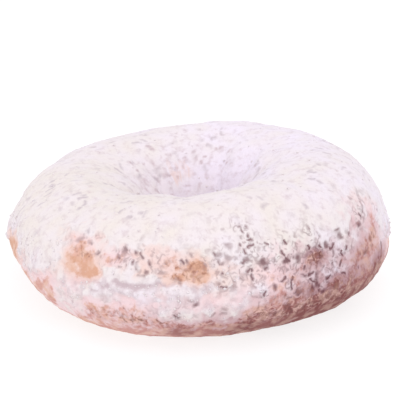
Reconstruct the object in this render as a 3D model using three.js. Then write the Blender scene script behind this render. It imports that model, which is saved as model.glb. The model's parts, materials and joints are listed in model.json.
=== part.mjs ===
// A powdered sugar doughnut: one uneven ring of fried cake dough with a narrow hole.
// Millimetres, +Z up. It rests on its flattened underside at z = 0, with the origin under the
// middle of its outline. Angles run round the hole from +X, and the front faces -Y, at -90 degrees.

import * as THREE from "three";
import { ParametricGeometry } from "three/addons/geometries/ParametricGeometry.js";
import { ImprovedNoise } from "three/addons/math/ImprovedNoise.js";

// Driving dimensions of the ring
const OUTER_DIAMETER = 86;
const CREST_DIAMETER = 53; // across the top line of the ring
const HOLE_DIAMETER = 17; // at the hole's narrowest
const CREST_HEIGHT = 28.4;
const WAIST_HEIGHT = 11.4; // of the widest part of the ring
const FLATTENING = 0.8; // how far the dough has settled onto its base

// Roundness of the section: 2 is an ellipse, less is more pointed at the waist
const CROWN_ROUNDNESS = 1.96;
const FOOT_ROUNDNESS = 1.95;

// How the ring departs from an even one. A wave has a size, lobes round the ring and a peak in degrees.
const OUTLINE_WAVE = { size: 0.031, lobes: 3, peak: -3 }; // share of the radius, dying out at the back
const CREST_WAVE = { size: 2.1, lobes: 1, peak: -4 }; // the ring is thickest at the right
const WAIST_WAVE = { size: 1.2, lobes: 1, peak: -150 };
const CROWN_WAVE = { size: 0.22, lobes: 1, peak: 0 };

// The foot is drawn in at the left end
const TUCK = { around: -166, spread: 30, depth: 0.6 };

// Crags of the fried crust, in octaves of half the spacing
const CRAG_SPACING = 11;
const CRAG_HEIGHT = 0.75;
const CRAG_OCTAVES = 3;
const CRAG_FALL = 0.5; // height of each octave against the one before

// Folds of crust that run down into the hole
const FOLD_COUNT = 11;
const FOLD_DEPTH = 0.55;
const FOLD_WANDER = 1.6; // radians by which noise moves the folds
const FOLD_MIDDLE = 140; // degrees round the section, where 90 is the crest and 180 the hole's waist
const FOLD_SPREAD = 26;

// The crease round the outside where the crown rose over the foot in the fryer
const CREASE_RISE = 3.3; // above the waist
const CREASE_DEPTH = 0.6;
const CREASE_WIDTH = 1.5;
const CREASE_WAVE = { size: 2, lobes: 3, peak: -77 };

// Shallow hollows where the coat was rubbed off the outside: angle, height, half sizes and depth
const HOLLOWS = [
  { around: -156, height: 15.4, wide: 3, tall: 2.2, depth: 0.5 },
  { around: -122, height: 18.6, wide: 6, tall: 2.8, depth: 0.7 },
  { around: -95, height: 19.4, wide: 7, tall: 2.8, depth: 0.7 },
  { around: -53, height: 18.5, wide: 4.5, tall: 2.2, depth: 0.5 },
  { around: -30, height: 18.6, wide: 4.8, tall: 2.6, depth: 0.6 },
  { around: 22, height: 18.4, wide: 6.5, tall: 2.6, depth: 0.7 },
  { around: 74, height: 17.2, wide: 5.2, tall: 2.5, depth: 0.6 },
  { around: 129, height: 18.2, wide: 7.2, tall: 2.8, depth: 0.7 },
];

const RELIEF_FADE = 4; // height over the base in which relief dies out, so that the base stays flat

// Faces round the ring and round its section
const RING_STEPS = 124;
const SECTION_STEPS = 40;

const FULL_TURN = 2 * Math.PI;
const crustNoise = new ImprovedNoise();

const radians = THREE.MathUtils.degToRad;
const wave = (around, { size, lobes, peak }) => size * Math.cos(lobes * (around - radians(peak)));
const bell = (offset, spread) => Math.exp(-((offset / spread) ** 2));

// The shortest way from one angle to another, in radians.
function turnBetween(from, to) {
  return THREE.MathUtils.euclideanModulo(to - from + Math.PI, FULL_TURN) - Math.PI;
}

// The ring's waist and crest heights, and the roundness of its crown and foot, at an angle round the hole.
const waistAt = (around) => WAIST_HEIGHT + wave(around, WAIST_WAVE);
const crestAt = (around) => CREST_HEIGHT + wave(around, CREST_WAVE);
const crownAt = (around) => CROWN_ROUNDNESS + wave(around, CROWN_WAVE);
function footAt(around) {
  return FOOT_ROUNDNESS - TUCK.depth * bell(turnBetween(radians(TUCK.around), around), radians(TUCK.spread));
}

// How far the outline stands out at an angle, as a share of the even ring's radius.
function outlineAt(around) {
  const frontness = (1 - Math.sin(around)) / 2;
  return 1 + frontness * wave(around, OUTLINE_WAVE);
}

// A point of the smooth section as radius and height. Each quarter is a power curve of its own:
// outer or inner reach, and a crown above the waist or a foot below it.
function sectionPoint(around, section, target) {
  const side = Math.cos(section);
  const lift = Math.sin(section);
  const isCrown = lift > 0;
  const roundness = isCrown ? crownAt(around) : footAt(around);
  const reach = (side > 0 ? OUTER_DIAMETER - CREST_DIAMETER : CREST_DIAMETER - HOLE_DIAMETER) / 2;
  const waist = waistAt(around);
  const rise = isCrown ? crestAt(around) - waist : waist + FLATTENING;
  const bend = (x) => Math.sign(x) * Math.abs(x) ** (2 / roundness);
  const radius = CREST_DIAMETER / 2 + reach * bend(side);
  return target.set(radius * outlineAt(around), waist + rise * bend(lift));
}

// Height of the crags at a point, as a sum of noise octaves.
function crags(point) {
  let height = 0;
  for (let octave = 0; octave < CRAG_OCTAVES; octave += 1) {
    const spacing = CRAG_SPACING / 2 ** octave;
    const noise = crustNoise.noise(point.x / spacing, point.y / spacing, point.z / spacing + octave);
    height += CRAG_HEIGHT * CRAG_FALL ** octave * noise;
  }
  return height;
}

// Depth of the folds round the hole's mouth.
function folds(point, around, section) {
  const wander = FOLD_WANDER * crustNoise.noise(point.x / CRAG_SPACING, point.y / CRAG_SPACING, FOLD_COUNT);
  const inMouth = bell(turnBetween(radians(FOLD_MIDDLE), section), radians(FOLD_SPREAD));
  return -FOLD_DEPTH * inMouth * Math.cos(FOLD_COUNT * around + wander);
}

// Depth of the crease round the outside.
function crease(point, around, section) {
  const line = waistAt(around) + CREASE_RISE + wave(around, CREASE_WAVE);
  const isOuter = Math.max(0, Math.cos(section));
  return -CREASE_DEPTH * isOuter * bell(point.z - line, CREASE_WIDTH);
}

// Depth of the rubbed hollows.
function hollows(point, around, section) {
  const isOuter = Math.max(0, Math.cos(section));
  return HOLLOWS.reduce((sum, hollow) => {
    const along = turnBetween(radians(hollow.around), around) * Math.hypot(point.x, point.y);
    const dent = bell(along, hollow.wide) * bell(point.z - hollow.height, hollow.tall);
    return sum - hollow.depth * dent * isOuter;
  }, 0);
}

// A point of the craggy surface: the smooth section, moved in or out by the relief.
const sectionAt = new THREE.Vector2();
function surfacePoint(around, section, target) {
  sectionPoint(around, section, sectionAt);
  target.set(sectionAt.x * Math.cos(around), sectionAt.x * Math.sin(around), sectionAt.y);
  const relief =
    crags(target) +
    folds(target, around, section) +
    crease(target, around, section) +
    hollows(target, around, section);
  const shown = relief * THREE.MathUtils.smoothstep(sectionAt.y, 0, RELIEF_FADE);
  const outward = new THREE.Vector2(sectionAt.x - CREST_DIAMETER / 2, sectionAt.y - waistAt(around));
  sectionAt.addScaledVector(outward.normalize(), shown);
  const height = Math.max(0, sectionAt.y);
  return target.set(sectionAt.x * Math.cos(around), sectionAt.x * Math.sin(around), height);
}

// The front section as a curve, whose arc length spaces the rows of faces evenly.
class FrontSection extends THREE.Curve {
  getPoint(share, target = new THREE.Vector2()) {
    return sectionPoint(-Math.PI / 2, FULL_TURN * share, target);
  }
}

// The whole ring as one closed surface, with its outline centred over the origin.
function ringGeometry() {
  const spacing = new FrontSection();
  const geometry = new ParametricGeometry(
    (u, v, target) => surfacePoint(FULL_TURN * u, FULL_TURN * spacing.getUtoTmapping(v), target),
    RING_STEPS,
    SECTION_STEPS,
  );
  geometry.computeBoundingBox();
  const middle = geometry.boundingBox.getCenter(new THREE.Vector3());
  return geometry.translate(-middle.x, -middle.y, 0);
}

const sugaredDough = new THREE.MeshStandardMaterial({
  color: 0xf3e7e6,
  roughness: 0.95,
  metalness: 0,
});

const doughnut = new THREE.Mesh(ringGeometry(), sugaredDough);
doughnut.name = "doughnut";

const part = new THREE.Group();
part.add(doughnut);

export default part;
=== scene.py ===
"""A powdered sugar doughnut: a fried cake ring, its coat of icing sugar, and the loose sugar on it."""

import json
import logging
import math
from dataclasses import dataclass
from enum import Enum

import bmesh
import bpy
import numpy as np
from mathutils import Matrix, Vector, noise
from mathutils.bvhtree import BVHTree


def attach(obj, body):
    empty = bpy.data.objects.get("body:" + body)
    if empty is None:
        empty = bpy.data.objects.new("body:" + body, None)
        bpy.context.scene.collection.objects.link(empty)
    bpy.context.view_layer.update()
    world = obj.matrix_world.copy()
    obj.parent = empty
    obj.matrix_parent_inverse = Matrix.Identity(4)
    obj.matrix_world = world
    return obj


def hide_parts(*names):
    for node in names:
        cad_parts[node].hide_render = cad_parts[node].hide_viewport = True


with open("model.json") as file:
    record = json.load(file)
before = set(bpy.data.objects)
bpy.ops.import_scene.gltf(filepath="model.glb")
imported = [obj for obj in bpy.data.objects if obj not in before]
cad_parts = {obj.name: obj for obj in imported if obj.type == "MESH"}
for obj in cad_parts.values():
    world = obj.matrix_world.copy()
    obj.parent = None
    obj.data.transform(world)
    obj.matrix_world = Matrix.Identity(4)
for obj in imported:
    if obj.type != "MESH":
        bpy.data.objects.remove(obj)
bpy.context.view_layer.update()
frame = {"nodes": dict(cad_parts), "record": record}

MM = 0.001
FULL_TURN = 2 * math.pi
NODE = "doughnut"
BODY = "root"
UNROLLED = "unrolled_mm"
FRAME_PX = 400
# The coat is gone at the first value of the cover, and whole from the second one on.
WORN = (0.1, 0.8)
# The power that gives places and dots their blunt edges.
EDGE = 1.5
LOG = logging.getLogger(NODE)

Array = np.ndarray
Tree = bpy.types.NodeTree
Socket = bpy.types.NodeSocket
Material = bpy.types.Material
Piece = bpy.types.Object


class Slot(Enum):
    """The record's material slots."""

    SUGARED_CRUST = "sugared_crust"


class Mix(Enum):
    """Sockets of a colour mix node."""

    FACTOR = 0
    LOWER = 6
    UPPER = 7
    RESULT = 2


class Value(Enum):
    """What the finishes read at each vertex."""

    COVER = "cover"
    BROWNED_AND_SHADED = "browned"
    CREASE = "crease_shade"
    PIT = "pit"
    CRACKS = "cracks"
    SMUDGES = "smudges"
    CURLS = "curls"
    COOL_TINT_AND_SHADE = "cool_tint_and_shade"


def linear(hex_colour: str) -> tuple[float, ...]:
    """Turns an sRGB hex colour such as "#F4EAEE" to linear light and alpha, by the standard's own curve."""
    shares = [int(hex_colour[i:i + 2], 16) / 255 for i in (1, 3, 5)]
    return (*(s / 12.92 if s <= 0.04045 else ((s + 0.055) / 1.055) ** 2.4 for s in shares), 1.0)


def add_node(
    tree: Tree, kind: str, inputs: dict | list | tuple = (), out: int | str = 0, **settings: object,
) -> Socket | None:
    """Adds a node with its settings and links.

    Args:
        tree: the node tree to add to.
        kind: the node's type, such as "TexNoise".
        inputs: values to set or sockets to link from, by the inputs' names or numbers, or in their order.
        out: the name or number of the wanted output.
        **settings: the node's own properties.

    Returns:
        The wanted output, or nothing if the node has none.
    """
    node = tree.nodes.new("ShaderNode" + kind)
    for name, value in settings.items():
        setattr(node, name, value)
    for key, value in inputs.items() if isinstance(inputs, dict) else enumerate(inputs):
        if isinstance(value, Socket):
            tree.links.new(value, node.inputs[key])
        else:
            node.inputs[key].default_value = value
    return node.outputs[out] if node.outputs else None


def layered(tree: Tree, base: Socket | str, *coats: tuple) -> Socket:
    """Lays colours over each other. A colour is a hex value or a socket.

    Args:
        tree: the node tree to draw in.
        base: the colour at the bottom.
        *coats: from below to above, how much of a colour shows, and the colour.

    Returns:
        The colour that they make.
    """
    for share, coat in coats:
        lower, upper = (linear(colour) if isinstance(colour, str) else colour for colour in (base, coat))
        inputs = {Mix.FACTOR.value: share, Mix.LOWER.value: lower, Mix.UPPER.value: upper}
        base = add_node(tree, "Mix", inputs, Mix.RESULT.value, data_type="RGBA")
    return base


def smoothstep(low: float, high: float, x: Array) -> Array:
    """Rises smoothly from 0 at low to 1 at high."""
    share = np.clip((x - low) / (high - low), 0, 1)
    return share * share * (3 - 2 * share)


def bell(offset: Array, spread: float) -> Array:
    """Falls smoothly from 1 at no offset, to about a third at the spread."""
    return np.exp(-((offset / spread) ** 2))


def turn_from(start_deg: float, angles: Array) -> Array:
    """Gives the shortest turns, in radians, from an angle in degrees to angles in radians."""
    return (angles - math.radians(start_deg) + math.pi) % FULL_TURN - math.pi


@dataclass
class RingForm:
    """The ring's smooth form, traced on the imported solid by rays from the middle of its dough.

    Columns run round the hole. Rows run round the section, from low on the outside over the crest, down the
    hole and under the base. Arrays are in millimetres.
    """

    core_radius_mm: float = 26.5
    core_height_mm: float = 13.0
    ray_columns: int = 350
    ray_rows: int = 200
    columns: int = 700
    smoothing_mm: float = 0.9
    outer_radius_mm: float = 43.0
    row_spans: tuple = ((-32, 66, 68), (66, 204, 69), (204, 328, 36))

    def __post_init__(self) -> None:
        """Traces the solid and works out points, normals and angles."""
        low, high = frame["record"]["physics"]["openings"][0]["box_m"]
        self.middle = np.array([(low[0] + high[0]) / 2, (low[1] + high[1]) / 2]) / MM
        spans = [np.linspace(start, end, count, endpoint=False) for start, end, count in self.row_spans]
        self.section_deg = np.concatenate(spans)
        self.around = np.arange(self.columns) * FULL_TURN / self.columns
        self.points = self._placed(self._traced(), self.around, np.radians(self.section_deg))
        self.height = self.points[..., 2]
        self.radius = np.hypot(*np.moveaxis(self.points[..., :2] - self.middle, -1, 0))
        along, over = (np.roll(self.points, -1, axis) - np.roll(self.points, 1, axis) for axis in (0, 1))
        cross = np.cross(along, over)
        self.normals = cross / np.linalg.norm(cross, axis=-1, keepdims=True)
        self.cell_mm2 = np.linalg.norm(cross, axis=-1) / 4
        self.column_mm, self.row_mm = (np.linalg.norm(side, axis=-1) / 2 for side in (along, over))
        self.is_outer = np.cos(np.radians(self.section_deg)) > 0
        self.unrolled = np.cumsum(self.row_mm.mean(axis=0))

    def grain(self, spacing_mm: float, seed: float) -> Array:
        """Samples smooth noise of about -1 to 1 all over the ring, in lumps of a size. The seed moves it."""
        spots = (self.points / spacing_mm + seed).reshape(-1, 3).tolist()
        return np.array([noise.noise(spot) for spot in spots]).reshape(self.height.shape)

    def relief(self, layers: tuple, seed: float) -> Array:
        """Adds up noises, each given by the size of its lumps and its strength."""
        return sum(strength * self.grain(size, seed) for size, strength in layers)

    def warped(self, reach_mm: float, spacing_mm: float, seed: float) -> Array:
        """Gives heights over the base that wander up and down by a noise."""
        return self.height + reach_mm * self.grain(spacing_mm, seed)

    def near(self, *sides: tuple) -> Array:
        """Gives how near each column is to some sides, each an angle and a spread in degrees."""
        return sum(bell(turn_from(side, self.around), math.radians(spread)) for side, spread in sides)

    def shares(self, spots: tuple, height_mm: Array | None = None) -> Array:
        """Gives how strongly each place counts all over the ring, by its own heights or by others."""
        height = self.height if height_mm is None else height_mm
        return np.array([spot.over(self, height) for spot in spots])

    def _placed(self, reach: Array, around: Array, section: Array) -> Array:
        """Places points at a reach from the core circle.

        Args:
            reach: distances from the core, one row of values for each angle round the hole.
            around: angles round the hole, in radians.
            section: angles round the section, in radians.

        Returns:
            The points, in millimetres.
        """
        radius = self.core_radius_mm + reach * np.cos(section)
        x = self.middle[0] + radius * np.cos(around)[:, None]
        y = self.middle[1] + radius * np.sin(around)[:, None]
        z = np.maximum(0, self.core_height_mm + reach * np.sin(section))
        return np.stack([x, y, z], axis=-1)

    def _traced(self) -> Array:
        """Casts rays from the core circle to the solid's faces, on an even grid, and rounds off the facets.

        Returns:
            Distances in millimetres, for each column and row.
        """
        solid = frame["nodes"][NODE].data
        corners = [vertex.co.copy() for vertex in solid.vertices]
        tree = BVHTree.FromPolygons(corners, [list(polygon.vertices) for polygon in solid.polygons])
        reach = np.empty((self.ray_columns, self.ray_rows))
        around, section = (np.arange(count) * FULL_TURN / count for count in reach.shape)
        core = self._placed(np.zeros((self.ray_columns, 1)), around, np.zeros(1))[:, 0] * MM
        for column, angle in enumerate(around):
            for row, tilt in enumerate(section):
                flat = math.cos(tilt)
                way = Vector((flat * math.cos(angle), flat * math.sin(angle), math.sin(tilt)))
                reach[column, row] = tree.ray_cast(Vector(core[column]), way)[3] / MM
        turns, tilts = (
            np.fft.fftfreq(count) * count * self.smoothing_mm / radius / FULL_TURN
            for count, radius in zip(reach.shape, (self.outer_radius_mm, self.core_height_mm))
        )
        keep = np.exp(-2 * math.pi ** 2 * (turns[:, None] ** 2 + tilts ** 2))
        smooth = np.fft.ifft2(np.fft.fft2(reach) * keep).real
        wanted = np.radians(self.section_deg)
        rows = np.stack([np.interp(wanted, section, line, period=FULL_TURN) for line in smooth])
        waves = np.fft.rfft(rows, axis=0)
        return np.fft.irfft(waves, n=self.columns, axis=0) * self.columns / self.ray_columns


@dataclass(frozen=True)
class Place:
    """A soft-edged place on the ring: where it is, its half sizes, and how strongly it counts."""

    around_deg: float
    height_mm: float
    half_width_mm: float
    half_height_mm: float
    share: float = 1.0

    def over(self, form: RingForm, height_mm: Array) -> Array:
        """Gives how strongly the place counts all over the ring.

        Args:
            form: the ring.
            height_mm: heights over the base, for each column and row.

        Returns:
            Shares for each column and row.
        """
        along = turn_from(self.around_deg, form.around)[:, None] * form.radius / self.half_width_mm
        up = (height_mm - self.height_mm) / self.half_height_mm
        return self.share * np.exp(-((along ** 2 + up ** 2) ** EDGE))


def places(*rows: tuple) -> tuple[Place, ...]:
    """Makes places from rows of angle, height, half width, half height and, where it isn't 1, share."""
    return tuple(Place(*row) for row in rows)


def set_value(piece: Piece, name: Value, numbers: Array) -> None:
    """Stores one number for each vertex as a named attribute."""
    attribute = piece.data.attributes.new(name.value, "FLOAT", "POINT")
    attribute.data.foreach_set("value", numbers.astype(np.float32).ravel())


def stand_for_ring(piece: Piece) -> None:
    """Lets a piece ride on the part and stand for its solid."""
    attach(piece, BODY)
    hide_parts(NODE)


def mesh_piece(name: str, points_mm: Array, faces: Array, material: Material) -> Piece:
    """Makes a smooth-shaded piece from arrays.

    Args:
        name: the piece's name.
        points_mm: points, in millimetres.
        faces: vertex numbers, one row for each face.
        material: the finish.

    Returns:
        The new piece, linked into the scene.
    """
    mesh = bpy.data.meshes.new(name)
    mesh.from_pydata((points_mm * MM).tolist(), [], faces.tolist())
    mesh.shade_smooth()
    mesh.materials.append(material)
    piece = bpy.data.objects.new(name, mesh)
    bpy.context.scene.collection.objects.link(piece)
    return piece


def closed_tube(
    name: str, points_mm: Array, form: RingForm, rows: Array, values: dict, material: Material,
) -> Piece:
    """Makes a piece from a grid of points that closes on itself both ways, and unrolls it to a flat drawing.

    Args:
        name: the piece's name.
        points_mm: points by column and row, in millimetres.
        form: the ring that they follow.
        rows: the ring's rows that they follow.
        values: what the finish reads, for each column and row of the ring.
        material: the finish.

    Returns:
        The new piece, which stands for the ring.
    """
    columns = len(points_mm)
    index = np.arange(columns * len(rows)).reshape(columns, len(rows))
    ahead = np.roll(index, -1, 0)
    quads = np.stack([index, ahead, np.roll(ahead, -1, 1), np.roll(index, -1, 1)], axis=-1).reshape(-1, 4)
    piece = mesh_piece(name, points_mm.reshape(-1, 3), quads, material)
    around = np.arange(columns + 1) * FULL_TURN * form.outer_radius_mm / columns
    along = form.unrolled[np.append(rows, rows[-1])]
    flat = np.stack(np.meshgrid(around, along, indexing="ij"), axis=-1)
    corners = np.stack([flat[:-1, :-1], flat[1:, :-1], flat[1:, 1:], flat[:-1, 1:]], axis=2)
    layer = piece.data.uv_layers.new(name=UNROLLED)
    layer.uv.foreach_set("vector", corners.astype(np.float32).ravel())
    for value, numbers in values.items():
        set_value(piece, value, numbers[:, rows])
    stand_for_ring(piece)
    return piece


@dataclass(frozen=True)
class Strokes:
    """Short crooked strokes scattered over the ring, each a row of round dots.

    Pairs are ranges to draw from. The step between dots and the window of each are counted in radii.
    """

    count: int
    seed: int
    dots: tuple
    radius_mm: tuple
    strength: tuple
    bend: float
    heading: tuple
    step: float = 0.9
    window: float = 1.7

    def drawn(self, form: RingForm, density: Array) -> Array:
        """Draws the strokes.

        Args:
            form: the ring.
            density: how thickly they stand for each column and row.

        Returns:
            Values from 0 to 1 for each column and row.
        """
        rng = np.random.default_rng(self.seed)
        weights = (density * form.cell_mm2).ravel()
        starts = rng.choice(weights.size, self.count, p=weights / weights.sum())
        drawing = np.zeros_like(density)
        for start in starts:
            column, row = divmod(int(start), density.shape[1])
            cell_mm = np.array([form.column_mm[column, row], form.row_mm[column, row]])
            radius = rng.uniform(*self.radius_mm)
            strength = rng.uniform(*self.strength)
            heading = rng.uniform(*self.heading)
            place = np.array([column, row], float)
            for _ in range(rng.integers(*self.dots)):
                reach = np.ceil(self.window * radius / cell_mm).astype(int)
                spans = [np.arange(round(at) - n, round(at) + n + 1) for at, n in zip(place, reach)]
                u, v = ((span - at) * side / radius for span, at, side in zip(spans, place, cell_mm))
                spot = np.ix_(*(span % size for span, size in zip(spans, drawing.shape)))
                dot = strength * np.exp(-((u[:, None] ** 2 + v ** 2) ** EDGE))
                drawing[spot] = np.maximum(drawing[spot], dot)
                heading += rng.normal(0, self.bend)
                place += self.step * radius * np.array([math.cos(heading), math.sin(heading)]) / cell_mm
        return drawing


@dataclass
class SugarCover:
    """How thickly sugar lies over the ring: 1 where the coat is whole, 0 where the crust is bare.

    The coat is what has thickness. The cover adds the film of dust that clings to the crust. Patches are
    where the coat is worn off or, with a share below 0, where more of it is left. The hem is where the sugar
    thins out towards the underside.
    """

    form: RingForm
    hem_height_mm: float = 11.0
    hem_below_mm: float = 4.6
    hem_above_mm: float = 5.4
    hem_tilt_mm: float = 0.6
    hem_tilt_deg: float = 170.0
    hem_wave_mm: float = 0.6
    hem_lobes: int = 3
    hem_peak_deg: float = -128.0
    hole_end_deg: float = 190.0
    hole_softness_deg: float = 18.0
    warp_mm: float = 1.5
    warp_spacing_mm: float = 3.4
    ragged: tuple = ((3.4, 0.28), (1.4, 0.24))
    ragged_fade: tuple = (1.1, 0.7)
    smooth: tuple = places((-44, 13, 24, 7, 0.75), (112, 13, 24, 7, 0.75))
    film_most: float = 0.05
    film_noise: tuple = (-0.4, 0.4)
    film_spacing_mm: float = 5.0
    film_patch_mm: float = 2.8
    film_rise_mm: tuple = (2.0, 5.5)
    film_fade_mm: tuple = (21.0, 17.0)
    film_more: tuple = places(
        (-118, 8, 22, 5, 0.15), (-80, 8, 7, 3, 0.05), (-46, 14.5, 9, 4.5, 0.24), (-60, 13, 9, 3.2, 0.3),
        (-27, 13, 8, 3, 0.2), (70, 8.5, 22, 4.5, 0.12), (112, 14, 14, 4.5, 0.3),
    )
    seed: float = 11.3
    patches: tuple = places(
        (-163, 13.8, 4.2, 2.7, 1.1), (-125.6, 17.8, 5, 2.8, 0.9), (-120, 17, 2.8, 1.8, 0.6),
        (-125.8, 21.4, 5.6, 2.4, 0.68), (-113, 20.4, 3.6, 2.4, 0.66), (-98.5, 19.9, 6.8, 3.2, 0.62),
        (-89.4, 18.4, 3, 2.8, 0.68), (-88, 17.2, 1.7, 1.7, 0.4), (-95, 17.4, 4.2, 1.1, 0.62),
        (-138, 9.5, 3.4, 2.8, 0.3), (-127, 9.5, 6, 4, -0.4), (-132.5, 6, 4, 3, -0.45),
        (-97, 9, 5, 2.4, -0.25), (-80.2, 9.4, 4.6, 3, -0.42), (-88.6, 8.8, 4.6, 2.4, -0.28),
        (-71.7, 12.7, 3.6, 2.2, -0.35), (-67, 9, 10, 3.2, 0.38), (-50, 8.8, 10, 3, 0.24),
        (-61, 15.6, 16, 6.5, 0.42), (-56, 14.4, 13, 4.5, 0.3), (-51, 18.4, 2.8, 1.7, 0.4),
        (-24.8, 16.4, 4.4, 2.6, 0.46), (-34, 10.4, 9, 5.2, 0.9), (-46, 17.5, 8, 4, 0.08),
        (-46.1, 13.9, 2.6, 2, -0.45), (-50.5, 11.8, 3.2, 2.2, -0.25), (-27, 15, 9, 8, 0.35),
        (-27, 22, 8, 5, 0.36), (-13, 14, 6, 6, 0.12), (-83, 15, 6, 4, 0.2), (22, 18.4, 6.2, 2.6, 0.8),
        (31, 21.2, 5.2, 2.3, 0.55), (74, 17.4, 5.4, 2.6, 0.7), (100, 14.5, 18, 5, 0.35),
        (129, 18.2, 6.6, 2.8, 0.8), (141, 20.8, 5.2, 2.3, 0.5),
    )
    hole_patches: tuple = places((107, 21.8, 3, 2.4, 0.3))

    def __post_init__(self) -> None:
        """Works out the cover for every column and row of the form."""
        form = self.form
        height = form.warped(self.warp_mm, self.warp_spacing_mm, self.seed)
        worn, worn_in_hole = (
            form.shares(patches, height).sum(axis=0) for patches in (self.patches, self.hole_patches)
        )
        around = form.around[:, None]
        tilt = self.hem_tilt_mm * np.cos(around - math.radians(self.hem_tilt_deg))
        wave = self.hem_wave_mm * np.cos(self.hem_lobes * (around - math.radians(self.hem_peak_deg)))
        # The sugar thins out below the hem; the crust's tint that shows low on the outside also stands in
        # for the shade that falls there.
        over_hem = height - self.hem_height_mm - tilt - wave
        past_hole = form.section_deg - self.hole_end_deg
        whole = np.where(
            form.is_outer,
            smoothstep(-self.hem_below_mm, self.hem_above_mm, over_hem) - worn,
            smoothstep(self.hole_softness_deg, -self.hole_softness_deg, past_hole) - worn_in_hole,
        )
        ragged = sum(share * form.grain(size, self.seed + size) for size, share in self.ragged)
        smooth = form.shares(self.smooth).sum(axis=0)
        self.coat = np.clip(whole + ragged * (1 - smooth) * smoothstep(*self.ragged_fade, whole), 0, 1)
        self.cover = np.maximum(self.coat, self._film())

    def _film(self) -> Array:
        """Gives the film of sugar dust that clings to the bare rim, most of it at the left.

        Returns:
            The cover, from 0 to 1.
        """
        form = self.form
        even = smoothstep(*self.film_noise, form.grain(self.film_spacing_mm, self.seed))
        patchy = 1 + form.grain(self.film_patch_mm, self.seed)
        film = self.film_most * even + form.shares(self.film_more).sum(axis=0) * patchy
        rise = smoothstep(*self.film_rise_mm, form.height)
        return film * rise * smoothstep(*self.film_fade_mm, form.height)


@dataclass
class SugarLumps:
    """Soft lumps of sugar low on the outside, with faint creases between that are painted with shade:
    upright where the sugar ran.
    """

    form: RingForm
    wide_mm: float = 5.2
    tall_mm: float = 3.8
    runs_deg: tuple = ((-50.0, 34.0), (110.0, 34.0))
    run_narrowing: float = 0.55
    run_lengthening: float = 1.5
    low_mm: float = 6.0
    high_mm: float = 19.0
    middle_mm: float = 13.0
    spread_mm: float = 4.4
    height_mm: float = 0.7
    rim_level: float = 0.5
    crease_width: float = 0.45
    crease_shade_share: float = 0.48
    bend: float = 0.45
    bend_spacing_mm: float = 2.6
    seed: int = 17
    seam: tuple = places(
        (-123, 14.2, 3.4, 0.7), (-117, 14.6, 3.4, 0.7), (-110, 15.2, 3.4, 0.7), (-104, 15.7, 3.4, 0.7),
        (-98, 16.3, 3.2, 0.7), (-89, 14.8, 3.2, 1.4, 0.5), (-92, 12.6, 5, 1.6, 0.45),
        (-100, 11.5, 4, 1.2, 0.4),
    )
    seam_mm: float = 0.3
    seam_warp_mm: float = 1.2

    def __post_init__(self) -> None:
        """Works out the lumps' heights, and the painted shade in the creases, for every column and row."""
        form = self.form
        rows = np.where(form.is_outer)[0]
        near, next_near = self._nearest(rows)
        band = bell(form.height - self.middle_mm, self.spread_mm)[:, rows]
        self.height, self.crease_shade = np.zeros((2, *form.height.shape))
        self.height[:, rows] = self.height_mm * band * (self.rim_level - np.minimum(1, near ** 2))
        # Painted shade in the creases between the lumps, and along the seam.
        gap = smoothstep(self.crease_width, 0.0, next_near - near)
        self.crease_shade[:, rows] = self.crease_shade_share * band * gap
        height = form.warped(self.seam_warp_mm, self.bend_spacing_mm, self.seed)
        seam = form.shares(self.seam, height).max(axis=0) * form.is_outer
        self.height -= self.seam_mm * seam
        self.crease_shade = np.maximum(self.crease_shade, seam)

    def _nearest(self, rows: Array) -> tuple[Array, Array]:
        """Finds how far the two nearest lumps are from each place, counted in lumps.

        Args:
            rows: the rows to look at.

        Returns:
            The distances to the nearest lump and to the next one, for each column and row.
        """
        form = self.form
        rng = np.random.default_rng(self.seed)
        run = np.clip(form.near(*self.runs_deg), 0, 1)
        wide = self.wide_mm * (1 - (1 - self.run_narrowing) * run)
        tall = self.tall_mm * (1 + (self.run_lengthening - 1) * run)
        lanes = np.cumsum(FULL_TURN * form.outer_radius_mm / form.columns / wide)
        lane_count = int(lanes[-1])
        lanes = lanes * lane_count / lanes[-1]
        levels = int((self.high_mm - self.low_mm) / self.tall_mm)
        lane, level = np.meshgrid(np.arange(lane_count), np.arange(levels), indexing="ij")
        middles = np.stack([lane.ravel(), level.ravel()], axis=-1) + rng.uniform(0, 1, (lane.size, 2))
        along = (lanes[:, None, None] - middles[:, 0] + lane_count / 2) % lane_count - lane_count / 2
        up = (form.height[:, rows, None] - self.low_mm) / tall[:, None, None] - middles[:, 1]
        bend = self.bend * form.grain(self.bend_spacing_mm, self.seed)[:, rows, None]
        two = np.partition(np.hypot(along + bend, up - bend), 1, axis=-1)[..., :2]
        return two[..., 0], two[..., 1]


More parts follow.
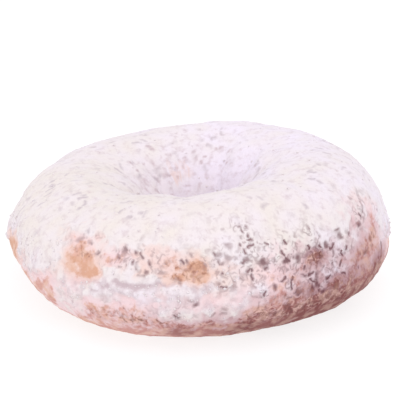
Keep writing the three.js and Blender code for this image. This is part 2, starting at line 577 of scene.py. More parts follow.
@dataclass
class CrustMarks:
    """Where scraps of dark crust show through the sugar: many on the outside, at the right.

    Crowds are where small marks stand thickly or, with a share below 0, are missing. Holes are the largest
    marks, one by one. Runs are upright gaps where the sugar ran down. Wrinkle streaks of painted shade run
    down into the hole, most of them at its far left. Smudges are faint, on the whole sugar that faces up. A
    grain is given by its spacing in millimetres and its seed, and a warp by its reach before these.
    """

    form: RingForm
    cover: Array
    crowds: tuple = places(
        (-80, 20.8, 10, 4.8, 0.72), (-70, 25, 9, 2.5, 0.25), (-86, 25, 8, 2, 0.16),
        (-64, 18.5, 12, 6.5, 1.05), (-50, 16.5, 10, 7, 0.75), (-28, 20, 7, 4.5, 0.35),
        (-22, 24, 6, 3.5, 0.3), (-113, 20.8, 5, 2.6, 0.45), (-124, 22, 6, 2.2, 0.5),
        (-102, 20.5, 6, 4.5, 0.6), (-104, 9, 12, 3, 0.42), (-122, 9, 8, 3, 0.14), (-56, 12, 14, 3.4, 0.5),
        (-46.1, 13.6, 3, 2.6, -0.8), (-71.7, 12.7, 3.4, 2.2, -0.35), (100, 18.5, 24, 6.5, 0.9),
        (20, 19, 14, 6, 0.4), (150, 19.5, 14, 6, 0.3),
    )
    crowd_share: float = 0.8
    cluster_grain: tuple = (5.0, 8.8)
    cluster_noise: tuple = (-0.1, 0.45)
    cluster_least: float = 0.4
    fringe_cover: float = 0.6
    fringe_spread: float = 0.22
    fringe_least: float = 0.4
    fringe_share: float = 0.5
    holes: tuple = places(
        (-62.2, 18.7, 1.1, 0.76), (-69.4, 18.9, 1.15, 0.92), (-66.9, 14, 0.66, 0.66, 0.9),
        (-52, 13.8, 0.6, 0.96, 0.8), (-52.4, 12.6, 0.6, 1.1, 0.9), (-54.2, 11.6, 0.66, 0.9),
        (-59.3, 11.9, 1, 0.7, 0.8), (-50.5, 10.5, 1, 0.66, 0.9), (-41.6, 21.9, 1.1, 0.7, 0.82),
        (-41, 20.6, 1, 0.66, 0.75), (-30.6, 21.3, 1.14, 0.74, 0.85), (-47, 19.6, 0.7, 0.8, 0.8),
        (-58, 18.5, 0.7, 1, 0.8), (-51.2, 18.8, 0.6, 0.7, 0.5), (-49.6, 17.6, 0.7, 0.6, 0.5),
        (-74.5, 20, 1.14, 0.6, 0.75), (-79.9, 22.9, 1.14, 0.6, 0.65), (-83.2, 21.1, 0.6, 0.9, 0.65),
        (-80.3, 20.4, 0.9, 0.9, 0.5), (-82.1, 19.6, 0.6, 0.6, 0.7), (-79, 15.6, 0.6, 1.02, 0.65),
        (-89.8, 11.8, 0.78, 0.66, 0.9), (-111.1, 21.6, 0.78, 0.78, 0.75), (-99.2, 18.2, 1.1, 0.6, 0.55),
        (-95.2, 17.1, 1, 0.6, 0.6), (-94.3, 16.4, 0.6, 0.84, 0.7), (-90.4, 18.2, 0.6, 1.3, 0.5),
        (-87.4, 19.2, 0.6, 1.1, 0.5), (-92.3, 18.8, 1.08, 0.6, 0.7), (-127.3, 21.9, 1.2, 0.72, 0.5),
        (-31, 15.4, 1.3, 0.6, 0.85), (-18.9, 13.7, 0.72, 1.1, 0.85), (-45, 11, 0.84, 0.6, 0.75),
        (97, 18.6, 1.02, 0.72), (104, 19.5, 0.78, 0.78), (88, 20.6, 1.08, 0.6, 0.75),
        (110, 13.4, 0.6, 1.08, 0.9), (118, 11.6, 1.08, 0.66, 0.9), (80, 15.4, 0.6, 0.84, 0.8),
        (24, 20.6, 0.96, 0.66, 0.75), (150, 19.8, 0.84, 0.72, 0.8),
    )
    hole_warp: tuple = (0.6, 1.2, 2.6)
    runs: tuple = places((-57, 13.5, 15, 4), (105, 13.5, 15, 4))
    run_strokes: Strokes = Strokes(
        count=40, seed=9, dots=(3, 9), radius_mm=(0.2, 0.32), strength=(0.4, 0.75),
        bend=0.3, heading=(1.1, 2.0),
    )
    wrinkle_deg: tuple = (145.0, 26.0)
    wrinkle_around_deg: tuple = (125.0, 75.0)
    wrinkle_least: float = 0.1
    wrinkle_strokes: Strokes = Strokes(
        count=100, seed=8, dots=(1, 4), radius_mm=(0.35, 0.65), strength=(0.2, 0.75),
        bend=0.6, heading=(0.5, 2.6),
    )
    smudge_share: float = 0.9
    smudge_least: float = 0.3
    smudge_grain: tuple = (7.0, 3.3)
    smudge_noise: tuple = (-0.1, 0.4)
    smudge_cover: tuple = (0.7, 0.9)
    smudge_upward: tuple = (0.4, 0.75)

    def __post_init__(self) -> None:
        """Draws the larger marks and works out how thickly the small ones stand."""
        form = self.form
        clusters = self.cluster_least + smoothstep(*self.cluster_noise, form.grain(*self.cluster_grain))
        crowded = form.shares(self.crowds).sum(axis=0) * clusters * form.is_outer
        fringe = bell(self.cover - self.fringe_cover, self.fringe_spread) * form.is_outer
        fringe = fringe * (self.fringe_least + crowded)
        self.density = np.clip(self.crowd_share * crowded + self.fringe_share * fringe, 0, 1)
        runs = self.run_strokes.drawn(form, form.shares(self.runs).sum(axis=0) * form.is_outer)
        holes = form.shares(self.holes, form.warped(*self.hole_warp)).max(axis=0) * form.is_outer
        self.pits = np.maximum(runs, holes)
        # Streaks of painted shade in folds running down into the hole, most at its far left.
        down = bell(form.section_deg - self.wrinkle_deg[0], self.wrinkle_deg[1])
        near = self.wrinkle_least + form.near(self.wrinkle_around_deg)
        self.wrinkle_shades = self.wrinkle_strokes.drawn(form, down * near[:, None])
        faint = smoothstep(*self.smudge_noise, form.grain(*self.smudge_grain))
        faint = self.smudge_least + (1 - self.smudge_least) * faint
        upward = smoothstep(*self.smudge_upward, form.normals[..., 2])
        self.smudges = self.smudge_share * faint * smoothstep(*self.smudge_cover, self.cover) * upward


@dataclass
class BrowningAndShade:
    """How brown the crust is: golden where it rose out of the fat, brown below, most of all at the right.

    The brown below is the frying's own, made deeper as painted shade low on the rim. Upper places are
    browner than their height makes them, and pale ones less so. Torn places stand in curls of crumb or, with
    a share below 0, are smoother. The wander gives a reach and a spacing in millimetres, and a seed.
    """

    form: RingForm
    golden_mm: float = 14.0
    brown_mm: float = 7.5
    wander: tuple = (1.5, 2.4, 4.7)
    least: float = 0.25
    sides_deg: tuple = ((-48.0, 52.0), (100.0, 60.0))
    upper: tuple = places(
        (-110, 11.5, 50, 3.6, 0.3), (-42, 15.5, 20, 11, 0.7), (-44, 11, 19, 5, 0.92),
        (-70, 11.5, 9, 4, 0.5), (-51, 18.3, 5, 4, 0.86), (-24, 17.4, 9, 7, 0.48), (-23, 11, 9, 4.5, 0.95),
        (-99.5, 20.4, 5, 3.2, 0.12), (-113, 20.6, 4, 2.6, 0.3), (-125, 21.8, 6, 2.6, 0.18),
        (-94, 4.2, 6, 4, 0.8), (-74.5, 4.5, 7, 4.5, 1),
    )
    pale: tuple = places((-163, 13.6, 8, 4.5))
    curl_share: float = 0.95
    curl_browning: tuple = (0.2, 0.9)
    torn: tuple = places(
        (-90.5, 18.6, 4, 3.4, 0.7), (-96, 17.8, 5, 2.2, 0.5), (-112.5, 20.8, 3.4, 2.4, 0.8),
        (-102, 20.2, 5, 3.5, 0.8), (-26, 17, 4, 2.6, 0.5), (-124, 21.6, 5, 2.2, 0.6),
        (-51, 18.3, 3, 2.4, 0.8), (-30, 10, 11, 6, -0.55), (-70, 7.5, 10, 3.4, 0.35),
        (-114, 8, 12, 3.4, 0.7), (-125, 19.6, 4, 2, 0.5), (-98, 7, 9, 3.4, 0.8), (26, 19, 5, 3, 0.5),
        (74, 17.4, 4.4, 2.4, 0.6),
    )
    curl_from_mm: tuple = (4.5, 8.5)

    def shares(self) -> Array:
        """Works out the browning.

        Returns:
            Shares for each column and row, 1 where the crust is brownest.
        """
        form = self.form
        # Browner downwards: the frying's own colour, deepened as painted shade low on the rim.
        below = smoothstep(self.golden_mm, self.brown_mm, form.warped(*self.wander))
        side = self.least + (1 - self.least) * form.near(*self.sides_deg)[:, None]
        outer = np.maximum(below * side, form.shares(self.upper).max(axis=0))
        pale = form.shares(self.pale).sum(axis=0)
        return np.clip(np.where(form.is_outer, outer, below) * (1 - pale), 0, 1)

    def curls(self, browned: Array) -> Array:
        """Works out how thickly curls of crumb stand: most where the crust is brown, none at its lower edge.

        Args:
            browned: the browning.

        Returns:
            Shares for each column and row.
        """
        torn = self.form.shares(self.torn).sum(axis=0)
        crumbly = self.curl_share * smoothstep(*self.curl_browning, browned)
        return (crumbly + torn) * smoothstep(*self.curl_from_mm, self.form.height) * self.form.is_outer


@dataclass
class SugarTintAndShade:
    """How far the sugar's white turns from cream to mauve: at random, and as painted shade in the hole and
    low down.
    """

    form: RingForm
    mean: float = 0.38
    tilt: float = 0.27
    tilt_deg: float = 40.0
    wanders: tuple = ((13.0, 0.3), (3.2, 0.35))
    # Painted shade: a mauve tint in the hole and low on the outside.
    hole_shade_deg: tuple = (150.0, 38.0)
    hole_shade_share: float = 0.2
    low_mm: tuple = (13.0, 4.0)
    low_shade_share: float = 0.33
    seed: float = 31.7

    def shares(self) -> Array:
        """Works out the tint.

        Returns:
            Shares for each column and row, 1 where the sugar is coolest.
        """
        form = self.form
        cool_tint_and_shade = self.mean + form.relief(self.wanders, self.seed)
        cool_tint_and_shade = cool_tint_and_shade + self.tilt * np.cos(turn_from(self.tilt_deg, form.around))[:, None]
        # Painted shade in the hole, then low on the outside.
        cool_tint_and_shade = cool_tint_and_shade + self.hole_shade_share * bell(form.section_deg - self.hole_shade_deg[0], self.hole_shade_deg[1])
        low = bell(form.height - self.low_mm[0], self.low_mm[1]) * form.is_outer
        return np.clip(cool_tint_and_shade + self.low_shade_share * low, 0, 1)


@dataclass(frozen=True)
class Mottle:
    """A noise pattern: the real size of its lumps, and how fine, rough and swirled they are."""

    spacing_mm: float
    detail: float
    roughness: float = 0.5
    swirl: float = 0.0

    def at(self, place: Socket, unit: float = MM) -> dict:
        """Gives a noise node's inputs, for a place in metres or, with a unit of 1, in millimetres."""
        fineness = {"Detail": self.detail, "Roughness": self.roughness, "Distortion": self.swirl}
        return {"Vector": place, "Scale": 1 / (self.spacing_mm * unit), **fineness}


def crooked(tree: Tree, place_mm: Socket, bends: Mottle, reach: float) -> Socket:
    """Bends a flat drawing by a noise, and gives the place on it, so that what is drawn there is crooked."""
    bent = add_node(tree, "TexNoise", bends.at(place_mm, 1.0), "Color", noise_dimensions="2D")
    return add_node(tree, "VectorMath", [bent, (reach, reach, 0.0), place_mm], operation="MULTIPLY_ADD")


@dataclass(frozen=True)
class Flecks:
    """Short crooked flecks that a finish draws, each in a cell of its own.

    Lengths and widths are half of a fleck's; the longest are the thinnest. The wander bends the flecks. The
    fade is how gradually they come in, so that most of them are faint.
    """

    spacing_mm: float
    half_length_mm: tuple
    half_width_mm: tuple
    strength: float
    seed: float
    fade: float = 0.4
    heading: tuple = (0.0, FULL_TURN)
    core_mm: float = 0.04
    wander_mm: float = 0.9
    wander: Mottle = Mottle(1.3, 1.0)

    def draw(self, tree: Tree, place_mm: Socket, wanted: Socket) -> Socket:
        """Draws the flecks.

        Args:
            tree: the node tree to draw in.
            place_mm: the place on a flat drawing of the surface.
            wanted: how many of the cells have a fleck, from 0 to 1.

        Returns:
            How strongly the flecks show.
        """
        moved = add_node(tree, "VectorMath", [place_mm, (self.seed, -self.seed, 0.0)], operation="ADD")
        bent = crooked(tree, moved, self.wander, self.wander_mm)
        cells = {"Vector": bent, "Scale": 1 / self.spacing_mm}
        middle = add_node(tree, "TexVoronoi", cells, "Position", voronoi_dimensions="2D")
        chances = add_node(tree, "SeparateColor", [middle.node.outputs["Color"]]).node.outputs
        spans = (("Red", self.heading), ("Green", self.half_length_mm), ("Green", self.half_width_mm))
        turn, length, width = (
            add_node(tree, "MapRange", [chances[chance], 0.0, 1.0, *span]) for chance, span in spans
        )
        offset = add_node(tree, "VectorMath", [bent, middle], operation="SUBTRACT")
        turned = add_node(tree, "VectorRotate", {"Vector": offset, "Angle": turn}, rotation_type="Z_AXIS")
        near = add_node(tree, "VectorMath", [turned], operation="ABSOLUTE")
        tip = add_node(tree, "CombineXYZ", [length])
        past = add_node(tree, "VectorMath", [near, tip], operation="SUBTRACT")
        outside = add_node(tree, "VectorMath", [past, (0.0, 0.0, 0.0)], operation="MAXIMUM")
        away = add_node(tree, "VectorMath", [outside], "Value", operation="LENGTH")
        fleck = add_node(tree, "MapRange", [away, width, self.core_mm, 0.0, self.strength])
        spare = add_node(tree, "Math", [wanted, chances["Blue"]], operation="SUBTRACT")
        shown = add_node(tree, "MapRange", [spare, 0.0, self.fade])
        return add_node(tree, "Math", [fleck, shown], operation="MULTIPLY")


@dataclass(frozen=True)
class Squiggles:
    """Thin curled lines that a finish draws, along the level lines of a noise, and broken by another one."""

    lines: Mottle
    breaks: Mottle
    half_width: float
    strength: float
    seed: float
    level: float = 0.5
    broken: tuple = (0.48, 0.6)
    crowding: float = 1.3

    def draw(self, tree: Tree, place_mm: Socket, wanted: Socket) -> Socket:
        """Draws the lines.

        Args:
            tree: the node tree to draw in.
            place_mm: the place on a flat drawing of the surface.
            wanted: how thickly the lines stand, from 0 to 1.

        Returns:
            How strongly the lines show.
        """
        moved = add_node(tree, "VectorMath", [place_mm, (self.seed, -self.seed, 0.0)], operation="ADD")
        hills, breaks = (
            add_node(tree, "TexNoise", mottle.at(place, 1.0), "Fac", noise_dimensions="2D")
            for mottle, place in ((self.lines, moved), (self.breaks, place_mm))
        )
        off = add_node(tree, "Math", [hills, self.level], operation="SUBTRACT")
        away = add_node(tree, "Math", [off], operation="ABSOLUTE")
        line = add_node(tree, "MapRange", [away, self.half_width, 0.0, 0.0, self.strength])
        whole = add_node(tree, "MapRange", [breaks, *self.broken])
        thickly = add_node(tree, "Math", [wanted, self.crowding], operation="MULTIPLY", use_clamp=True)
        parts = add_node(tree, "Math", [line, whole], operation="MULTIPLY")
        return add_node(tree, "Math", [parts, thickly], operation="MULTIPLY")


@dataclass
class Ground:
    """What a finish is drawn on: its node tree, and the places and values that it reads."""

    tree: Tree

    def __post_init__(self) -> None:
        """Adds the nodes that read the places and values."""
        self.place = add_node(self.tree, "TexCoord", out="Object")
        self.unrolled_mm = add_node(self.tree, "UVMap", uv_map=UNROLLED)
        flat = (1 / MM, 1 / MM, 0.0)
        self.from_above_mm = add_node(self.tree, "VectorMath", [self.place, flat], operation="MULTIPLY")
        self.values = {
            name: add_node(self.tree, "Attribute", out="Fac", attribute_name=name.value) for name in Value
        }


@dataclass(frozen=True)
class SugaredCrust:
    """Icing sugar shaken over cake dough that was browned in hot fat.

    The crust is golden where it rose and browner underneath, the more so low on the rim as painted shade: a
    mat of pale crumb curls with dark gaps. The sugar is chalk dry, with no gloss. Where it lies thin the
    crust tints it, and then shows between its grains; low on the outside that tint also stands in for shade.
    Its creases, the dips between its clumps and its hole get painted shade. Ranges of four values give where
    something starts and ends, and how strongly it shows there.
    """

    golden: str = "#D4A58C"
    rosy: str = "#CA948E"
    # The brown of the fried underside, made darker to paint in the shade at the lower rim.
    browned: str = "#7C4240"
    dusty: str = "#E4C3B3"
    curl: str = "#E6BEB6"
    light_pore: str = "#8E5A48"
    pore: str = "#6B4143"
    crust_pit: str = "#96685C"
    light_pit: str = "#92777A"
    dark_pit: str = "#643038"
    cream: str = "#E5DDD7"
    # Mauve for the sugar's random tint and for its painted shade in the hole and low down.
    lilac_tint_and_shade: str = "#E9E1EC"
    # Painted shade in the sugar's creases, between its clumps and in the hole's wrinkle streaks.
    painted_shade: str = "#C5B2B7"
    # Thin sugar tinted by the crust; low on the outside it also stands in for shade.
    thin: str = "#EAD0D2"
    peach: str = "#E7CBC1"
    mauve: str = "#AC848A"
    smudge: str = "#BFB3B9"
    grains: Mottle = Mottle(1.1, 3.0, 0.6)
    grain_range: tuple = (0.0, 1.0, 0.15, 0.85)
    clumps: Mottle = Mottle(1.5, 4.0, 0.6)
    # How the creases and the clumps' mottle call up the painted shade.
    crease_shade_gain: float = 0.5
    painted_shading: tuple = (0.52, 0.92, 0.0, 0.9)
    rosy_from: float = 0.3
    thinning: tuple = (0.5, 1.0, 1.0, 0.0)
    facet_spacing_mm: float = 2.3
    facet_softness: float = 0.25
    facet_wander: Mottle = Mottle(2.3, 1.0)
    facet_wander_mm: float = 1.6
    facet_share: float = 0.3
    facet_bare: float = 0.12
    dusting: tuple = (0.62, 0.94)
    rosy_at: float = 0.4
    blotches: Mottle = Mottle(2.6, 2.0)
    blotch_edge: tuple = (0.44, 0.6)
    dusty_share: tuple = (0.0, 1.0, 0.75, 0.32)
    tan_share: float = 0.75
    tan_until: tuple = (0.3, 0.46, 1.0, 0.0)
    crumb: Mottle = Mottle(1.2, 2.0, swirl=0.8)
    crumb_curls: tuple = (0.5, 0.66, 0.0, 0.6)
    crumb_gaps: tuple = (0.48, 0.34, 0.0, 0.6)
    curl_sugar: float = 0.6
    curl_rise: float = 0.5
    crack_rise: float = -1.0
    pit_edge: tuple = (0.42, 1.15, 0.0, 0.95)
    pit_grain: float = 0.5
    # Spacing, half lengths, half widths, strength and seed.
    gaps: Flecks = Flecks(1.35, (0.0, 0.55), (0.46, 0.34), 0.65, 23.0)
    cracks: Flecks = Flecks(2.0, (0.0, 0.8), (0.68, 0.48), 1.0, 37.0, fade=0.5)
    specks: Flecks = Flecks(1.0, (0.0, 0.4), (0.36, 0.24), 0.45, 71.0, fade=0.6)
    smudges: Flecks = Flecks(2.6, (0.0, 0.9), (0.9, 0.6), 0.75, 53.0, fade=0.6)
    squiggles: Squiggles = Squiggles(
        Mottle(2.2, 1.0), Mottle(2.2, 0.0), half_width=0.12, strength=0.55, seed=91.0,
    )

    def draw(self, tree: Tree) -> tuple[Socket, Socket]:
        """Draws crust and sugar by the values at the vertices.

        Args:
            tree: the node tree to draw in.

        Returns:
            The colour, and the height of the crumb and grains.
        """
        ground = Ground(tree)
        browned = ground.values[Value.BROWNED_AND_SHADED]
        grains = add_node(tree, "TexNoise", self.grains.at(ground.place), "Fac")
        curls, gaps = self._crumb(ground)
        cracks, *others = (
            marks.draw(tree, ground.unrolled_mm, ground.values[Value.CRACKS])
            for marks in (self.cracks, self.specks, self.squiggles)
        )
        for other in others:
            cracks = add_node(tree, "Math", [cracks, other], operation="MAXIMUM")
        smudges = self.smudges.draw(tree, ground.from_above_mm, ground.values[Value.SMUDGES])
        chance = self._facets(ground)
        thick, dust = (
            add_node(tree, "Math", [chance, most, ground.values[Value.COVER]], operation="MULTIPLY_ADD")
            for most in (self.facet_share, self.facet_bare)
        )
        gain = add_node(tree, "Math", [curls, self.curl_sugar, 1.0], operation="MULTIPLY_ADD")
        fine = add_node(tree, "MapRange", [grains, *self.grain_range])
        level = add_node(tree, "Math", [dust, gain, fine], operation="MULTIPLY_ADD")
        share = add_node(tree, "MapRange", [level, *self.dusting], interpolation_type="SMOOTHSTEP")
        ragged = add_node(
            tree, "Math", [grains, self.pit_grain, ground.values[Value.PIT]], operation="MULTIPLY_ADD",
        )
        pits = add_node(tree, "MapRange", [ragged, *self.pit_edge])
        in_sugar = layered(tree, self.light_pit, (browned, self.dark_pit))
        dark = layered(tree, self.crust_pit, (share, in_sugar))
        colour = layered(
            tree, self._crust(ground, curls, gaps), (share, self._sugar(ground, thick)),
            (smudges, self.smudge), (cracks, dark), (pits, dark),
        )
        raised = add_node(tree, "Math", [curls, self.curl_rise, grains], operation="MULTIPLY_ADD")
        height = add_node(tree, "Math", [cracks, self.crack_rise, raised], operation="MULTIPLY_ADD")
        return colour, height

    def _crumb(self, ground: Ground) -> tuple[Socket, Socket]:
        """Draws the crumb of the torn crust.

        Args:
            ground: what it is drawn on.

        Returns:
            Where the crumb stands up in curls, and where dark gaps are open in it.
        """
        tree = ground.tree
        curled = ground.values[Value.CURLS]
        crumb = add_node(tree, "TexNoise", self.crumb.at(ground.place), "Fac")
        curls, open_crumb = (
            add_node(tree, "Math", [
                add_node(tree, "MapRange", [crumb, *span]), curled,
            ], operation="MULTIPLY", use_clamp=True)
            for span in (self.crumb_curls, self.crumb_gaps)
        )
        flecks = self.gaps.draw(tree, ground.unrolled_mm, curled)
        return curls, add_node(tree, "Math", [open_crumb, flecks], operation="MAXIMUM")

    def _facets(self, ground: Ground) -> Socket:
        """Parts the sugar in soft-edged facets, as it cakes on damp crust.

        Args:
            ground: what they are drawn on.

        Returns:
            One random number from 0 to 1 for each facet.
        """
        bent = crooked(ground.tree, ground.unrolled_mm, self.facet_wander, self.facet_wander_mm)
        cells = {"Vector": bent, "Scale": 1 / self.facet_spacing_mm, "Smoothness": self.facet_softness}
        kind = {"voronoi_dimensions": "2D", "feature": "SMOOTH_F1"}
        chances = add_node(ground.tree, "TexVoronoi", cells, "Color", **kind)
        return add_node(ground.tree, "SeparateColor", [chances], "Red")

    def _crust(self, ground: Ground, curls: Socket, gaps: Socket) -> Socket:
        """Draws the bare crust.

        Args:
            ground: what it is drawn on.
            curls: where its crumb stands up in curls.
            gaps: where dark gaps are open between them.

        Returns:
            The colour.
        """
        tree = ground.tree
        browned = ground.values[Value.BROWNED_AND_SHADED]
        rosiness = add_node(tree, "MapRange", [browned, 0.0, self.rosy_at])
        brownness = add_node(tree, "MapRange", [browned, self.rosy_at, 1.0])
        blotches = add_node(tree, "TexNoise", self.blotches.at(ground.place), "Fac")
        most = add_node(tree, "MapRange", [browned, *self.dusty_share])
        dusted = add_node(tree, "MapRange", [blotches, *self.blotch_edge, 0.0, most])
        others = add_node(tree, "SeparateColor", [blotches.node.outputs["Color"]], "Green")
        tan = add_node(tree, "MapRange", [others, *self.blotch_edge, 0.0, self.tan_share])
        pale = add_node(tree, "MapRange", [browned, *self.tan_until])
        tanned = add_node(tree, "Math", [tan, pale], operation="MULTIPLY")
        pore = layered(tree, self.light_pore, (browned, self.pore))
        return layered(
            tree, self.golden, (rosiness, self.rosy), (brownness, self.browned), (tanned, self.golden),
            (dusted, self.dusty), (gaps, pore), (curls, self.curl),
        )

    def _sugar(self, ground: Ground, thick: Socket) -> Socket:
        """Draws the sugar, whole and thin, with the painted shade in its creases, clumps and hole.

        Args:
            ground: what it is drawn on.
            thick: how thickly the sugar lies.

        Returns:
            The colour.
        """
        tree = ground.tree
        browned = ground.values[Value.BROWNED_AND_SHADED]
        clumps = add_node(tree, "TexNoise", self.clumps.at(ground.place), "Fac")
        crease_shade = ground.values[Value.CREASE]
        # Painted shade, deepest in the creases and mottled by the clumps.
        low = add_node(tree, "Math", [crease_shade, self.crease_shade_gain, clumps], operation="MULTIPLY_ADD")
        painted_shading = add_node(tree, "MapRange", [low, *self.painted_shading])
        rosiness = add_node(tree, "MapRange", [browned, 0.0, self.rosy_from])
        brownness = add_node(tree, "MapRange", [browned, self.rosy_from, 1.0])
        through = layered(tree, self.peach, (rosiness, self.thin), (brownness, self.mauve))
        thinness = add_node(tree, "MapRange", [thick, *self.thinning])
        # Mauve for the random tint and for painted shade in the hole and low down.
        cool_tint_and_shade = ground.values[Value.COOL_TINT_AND_SHADE]
        return layered(tree, self.cream, (cool_tint_and_shade, self.lilac_tint_and_shade), (painted_shading, self.painted_shade), (thinness, through))


@dataclass(frozen=True)
class Finish:
    """What all finishes have: a name, and how rough and how glossy the surface is."""

    name: str
    roughness: float
    specular: float

    def inputs(self, tree: Tree) -> dict:
        """Draws what the surface needs in a node tree, and gives the inputs of its shader."""
        return {"Roughness": self.roughness, "Specular IOR Level": self.specular}

    def material(self) -> Material:
        """Builds the material.

        Returns:
            The material, named for the real one and how its surface was made.
        """
        material = bpy.data.materials.new(self.name)
        material.use_nodes = True
        material.node_tree.nodes.clear()
        shader = add_node(material.node_tree, "BsdfPrincipled", self.inputs(material.node_tree))
        add_node(material.node_tree, "OutputMaterial", [shader])
        return material


@dataclass(frozen=True)
class SugaredFinish(Finish):
    """What the finishes of crust and sugar share: the same drawing of both, over a fine relief."""

    sheen: float
    bump_mm: float
    bump_strength: float = 0.6
    ior: float = 1.45
    paint: SugaredCrust = SugaredCrust()

    def inputs(self, tree: Tree) -> dict:
        """Draws the colour and the relief.

        Args:
            tree: the node tree to draw in.

        Returns:
            The inputs of the surface shader.
        """
        colour, height = self.paint.draw(tree)
        relief = {"Strength": self.bump_strength, "Distance": self.bump_mm * MM, "Height": height}
        drawn = {"Base Color": colour, "Normal": add_node(tree, "Bump", relief)}
        return {**super().inputs(tree), **drawn, "IOR": self.ior, "Sheen Weight": self.sheen}


@dataclass(frozen=True)
class FriedCakeCrust(SugaredFinish):
    """Cake dough browned in hot fat: a dry, slightly greasy skin that gives a broad dull gloss."""

    name: str = "fried_cake_crust"
    roughness: float = 0.72
    specular: float = 0.3
    sheen: float = 0.0
    bump_mm: float = 0.35


@dataclass(frozen=True)
class IcingSugar(SugaredFinish):
    """Powdered sugar, sifted and shaken on: chalk dry and without gloss.

    Its grains are drawn at about a millimetre, as the clots they make, because single ones are too fine to
    show.
    """

    name: str = "sifted_icing_sugar"
    roughness: float = 0.95
    specular: float = 0.15
    sheen: float = 0.15
    bump_mm: float = 0.28


@dataclass(frozen=True)
class PaleFloor(Finish):
    """White opal acrylic, lit from below: an even, matte, pale ground with hardly a shadow on it."""

    name: str = "opal_acrylic"
    roughness: float = 0.9
    specular: float = 0.1
    white: str = "#868586"
    light: str = "#FFFFFF"
    glow: float = 0.8

    def inputs(self, tree: Tree) -> dict:
        """Gives the inputs of a shader that glows."""
        glow = {"Emission Color": linear(self.light), "Emission Strength": self.glow}
        return {**super().inputs(tree), "Base Color": linear(self.white), **glow}


@dataclass
class CakeRing:
    """The fried dough under the sugar: the solid's form with a craggy crust, set back under the coat."""

    form: RingForm
    coat: Array
    values: dict
    material: Material
    name: str = "fried_cake_ring"
    top_deg: float = 66.0
    base_deg: float = 204.0
    top_step: int = 3
    base_step: int = 2
    set_back_mm: float = 0.2
    bare_rise_mm: float = 0.1
    fuller_mm: tuple = places((-141, 7, 10, 5, 0.5))
    crags_mm: tuple = ((6.0, 0.16), (2.4, 0.16), (1.1, 0.14))
    base_clear_mm: float = 2.0
    seed: float = 4.7

    def build(self) -> Piece:
        """Builds and dresses the ring. Rows that lie under the sugar or under the base are wider.

        Returns:
            The ring's piece.
        """
        form = self.form
        hidden_step = np.where(form.section_deg < self.base_deg, self.top_step, self.base_step)
        step = np.where(form.section_deg < self.top_deg, 1, hidden_step)
        rows = np.where(np.arange(len(step)) % step == 0)[0]
        points = form.points[:, rows]
        lift = smoothstep(0, self.base_clear_mm, points[..., 2])
        relief = form.relief(self.crags_mm, self.seed)[:, rows]
        bare = 1 - smoothstep(*WORN, self.coat[:, rows])
        fuller = form.shares(self.fuller_mm).sum(axis=0)[:, rows]
        rise = relief - self.set_back_mm + (self.set_back_mm + self.bare_rise_mm + fuller) * bare
        moved = points + form.normals[:, rows] * (rise * lift)[..., None]
        moved[..., 2] = np.maximum(0, moved[..., 2])
        return closed_tube(self.name, moved, form, rows, self.values, self.material)


@dataclass
class SugarCoat:
    """The coat of powdered sugar: a closed skin on the crust, which sinks under it where it is worn off."""

    form: RingForm
    coat: Array
    lumps_mm: Array
    roughness: Array
    values: dict
    material: Material
    name: str = "sugar_coat"
    first_deg: float = -30.0
    last_deg: float = 203.0
    full_mm: float = 0.2
    sunk_mm: float = 0.9
    pit_mm: float = 0.4
    rough_spacing_mm: float = 1.2
    rough_mm: float = 0.3
    inside_mm: float = 2.6
    inside_rows: int = 6
    swell_mm: tuple = ((5.0, 0.12), (2.2, 0.11), (1.0, 0.1))
    seed: float = 23.1

    def __post_init__(self) -> None:
        """Works out the outer face of the coat."""
        form = self.form
        whole = smoothstep(*WORN, self.coat)
        relief = form.relief(self.swell_mm, self.seed)
        rough = self.rough_mm * self.roughness * form.grain(self.rough_spacing_mm, self.seed)
        relief = relief + rough + self.lumps_mm - self.pit_mm * self.values[Value.PIT]
        depth = (self.full_mm + relief) * whole - self.sunk_mm * (1 - whole)
        self.face = form.points + form.normals * depth[..., None]

    def build(self) -> Piece:
        """Builds and dresses the coat.

        Returns:
            The coat's piece.
        """
        form = self.form
        rows = np.where((form.section_deg >= self.first_deg) & (form.section_deg <= self.last_deg))[0]
        back = rows[np.linspace(len(rows) - 1, 0, self.inside_rows).astype(int)]
        inside = form.points[:, back] - form.normals[:, back] * self.inside_mm
        shell = np.concatenate([self.face[:, rows], inside], axis=1)
        return closed_tube(self.name, shell, form, np.concatenate([rows, back]), self.values, self.material)


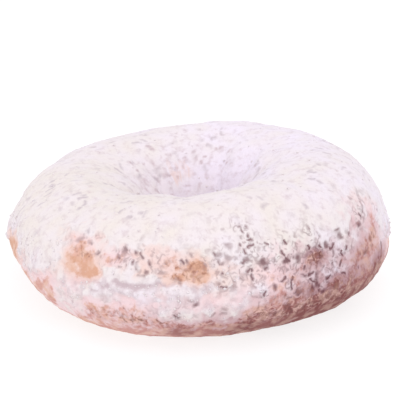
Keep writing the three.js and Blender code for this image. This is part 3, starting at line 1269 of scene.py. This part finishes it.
@dataclass
class SugarClumps:
    """Small clots of sugar that lie on the coat, most of them low on the outside, joined into one piece."""

    form: RingForm
    coat: Array
    face: Array
    material: Material
    name: str = "sugar_clumps"
    count: int = 1000
    radius_mm: tuple = (0.1, 0.3)
    seed: int = 41
    coat_from: tuple = (0.5, 0.8)
    end_deg: float = 195.0
    least: float = 0.06
    middle_mm: float = 12.5
    spread_mm: float = 5.0
    ball_steps: int = 2
    flatness: float = 0.7
    sunk: float = 0.5
    uneven: float = 0.28
    least_size: float = 0.5
    stretch: tuple = (0.7, 1.5)
    corner_reach: tuple = (0.55, 1.5)
    values: tuple = ((Value.COVER, 0.95, 1.0), (Value.COOL_TINT_AND_SHADE, 0.2, 0.6))

    def build(self) -> Piece:
        """Builds and dresses the clots.

        Returns:
            The clots' piece.
        """
        form = self.form
        rng = np.random.default_rng(self.seed)
        corners, faces = self._ball()
        low = self.least + bell(form.height - self.middle_mm, self.spread_mm) * form.is_outer
        shown = smoothstep(*self.coat_from, self.coat) * (form.section_deg < self.end_deg)
        weights = (shown * low * form.cell_mm2).ravel()
        picks = rng.choice(weights.size, self.count, replace=False, p=weights / weights.sum())
        normal = form.normals.reshape(-1, 3)[picks]
        side = np.cross(normal, rng.normal(size=(self.count, 3)))
        side /= np.linalg.norm(side, axis=1, keepdims=True)
        across = np.cross(normal, side)
        radius = rng.uniform(*self.radius_mm, self.count) * rng.uniform(self.least_size, 1.0, self.count)
        stretch = rng.uniform(*self.stretch, self.count)
        bumps = 1 + self.uneven * rng.normal(size=(self.count, len(corners)))
        local = corners[None] * np.clip(bumps, *self.corner_reach)[..., None] * radius[:, None, None]
        middle = self.face.reshape(-1, 3)[picks] + normal * (radius * (self.flatness - self.sunk))[:, None]
        axes = np.stack([side * stretch[:, None], across, normal * self.flatness], axis=1)
        points = middle[:, None] + local @ axes
        numbered = faces[None] + np.arange(self.count)[:, None, None] * len(corners)
        clots = mesh_piece(self.name, points.reshape(-1, 3), numbered.reshape(-1, 3), self.material)
        for name, least, most in self.values:
            set_value(clots, name, np.repeat(rng.uniform(least, most, self.count), len(corners)))
        stand_for_ring(clots)
        return clots

    def _ball(self) -> tuple[Array, Array]:
        """Makes the ball that each clot is shaped from.

        Returns:
            Its corners, and the corners' numbers for each face.
        """
        ball = bmesh.new()
        bmesh.ops.create_icosphere(ball, subdivisions=self.ball_steps, radius=1.0)
        corners = np.array([vertex.co for vertex in ball.verts])
        faces = np.array([[vertex.index for vertex in face.verts] for face in ball.faces])
        ball.free()
        return corners, faces


@dataclass(frozen=True)
class Lamp:
    """A broad far light: its strength in watts per square metre, how broad it looks, and where it stands."""

    name: str
    colour: str
    strength: float
    angle_deg: float
    way: tuple

    def hang(self) -> None:
        """Hangs the light, facing the part."""
        lamp = bpy.data.lights.new(self.name, "SUN")
        lamp.energy = self.strength
        lamp.angle = math.radians(self.angle_deg)
        lamp.color = linear(self.colour)[:3]
        light = bpy.data.objects.new(self.name, lamp)
        light.rotation_euler = Vector(self.way).to_track_quat("Z", "Y").to_euler()
        bpy.context.scene.collection.objects.link(light)


@dataclass
class Studio:
    """Plain white floor, soft light and the camera."""

    floor_m: float = 6.0
    target_mm: tuple = (0.45, 0.3, 19.15)
    distance_mm: float = 400.0
    elevation_deg: float = 20.0
    focal_px: float = 1769.0
    sensor_mm: float = 36.0
    sky: str = "#F4F4FC"
    sky_strength: float = 1.0
    lamps: tuple = (
        Lamp("key", "#FFF6E6", 0.75, 70.0, (0.15, -0.3, 0.9)),
        Lamp("fill", "#FFF6EE", 0.5, 60.0, (-0.75, -0.9, 0.12)),
    )

    def build(self) -> None:
        """Lays the floor, hangs the lights and sets the camera."""
        self._floor()
        self._light()
        self._camera()

    def _floor(self) -> None:
        """Lays the floor under the part."""
        half = self.floor_m / 2 / MM
        corners = np.array([(-half, -half, 0), (half, -half, 0), (half, half, 0), (-half, half, 0)])
        floor = mesh_piece("floor", corners, np.array([[0, 1, 2, 3]]), PaleFloor().material())

    def _light(self) -> None:
        """Sets the even sky and the soft lights."""
        bpy.context.scene.view_settings.view_transform = "Standard"
        world = bpy.data.worlds.new("white_tent")
        world.use_nodes = True
        world.node_tree.nodes.clear()
        sky = {"Color": linear(self.sky), "Strength": self.sky_strength}
        add_node(world.node_tree, "OutputWorld", [add_node(world.node_tree, "Background", sky)])
        bpy.context.scene.world = world
        for lamp in self.lamps:
            lamp.hang()

    def _camera(self) -> None:
        """Places the camera at the picture's angle."""
        lens = bpy.data.cameras.new("camera")
        lens.sensor_width = self.sensor_mm
        lens.lens = self.focal_px * self.sensor_mm / FRAME_PX
        camera = bpy.data.objects.new("camera", lens)
        tilt = math.radians(self.elevation_deg)
        back = Vector((0, -math.cos(tilt), math.sin(tilt))) * self.distance_mm
        camera.location = (Vector(self.target_mm) + back) * MM
        camera.rotation_euler = (math.pi / 2 - tilt, 0, 0)
        bpy.context.scene.collection.objects.link(camera)
        bpy.context.scene.camera = camera


@dataclass
class Doughnut:
    """The whole doughnut: its form, what lies where on it, and its three pieces."""

    crust: SugaredFinish = FriedCakeCrust()
    sugar: SugaredFinish = IcingSugar()

    def makers(self) -> list[CakeRing | SugarCoat | SugarClumps]:
        """Works out the form and what lies on it.

        Returns:
            The makers of the pieces, in the order in which they are built.
        """
        form = RingForm()
        cover = SugarCover(form)
        lumps = SugarLumps(form)
        marks = CrustMarks(form, cover.cover)
        browning = BrowningAndShade(form)
        browned = browning.shares()
        values = {
            Value.COVER: cover.cover,
            # The crust's browning, deepened as painted shade low on the rim.
            Value.BROWNED_AND_SHADED: browned,
            Value.CURLS: browning.curls(browned),
            # Painted shade in the creases between lumps and in the hole's wrinkle streaks.
            Value.CREASE: np.maximum(lumps.crease_shade, marks.wrinkle_shades),
            Value.PIT: marks.pits,
            Value.CRACKS: marks.density,
            Value.SMUDGES: marks.smudges,
            # The sugar's random tint, with painted shade in the hole and low down.
            Value.COOL_TINT_AND_SHADE: SugarTintAndShade(form).shares(),
        }
        crust = self.crust.material()
        sugar = self.sugar.material()
        coat = SugarCoat(form, cover.coat, lumps.height, marks.density, values, sugar)
        clumps = SugarClumps(form, cover.coat, coat.face, sugar)
        return [CakeRing(form, cover.coat, values, crust), coat, clumps]


def main() -> None:
    """Builds the doughnut's pieces in order, then the studio round it."""
    logging.basicConfig(level=logging.INFO, format="%(name)s: %(message)s")
    for maker in Doughnut().makers():
        piece = maker.build()
        LOG.info("%s: %d faces", piece.name, len(piece.data.polygons))
    Studio().build()


if __name__ == "__main__":
    main()
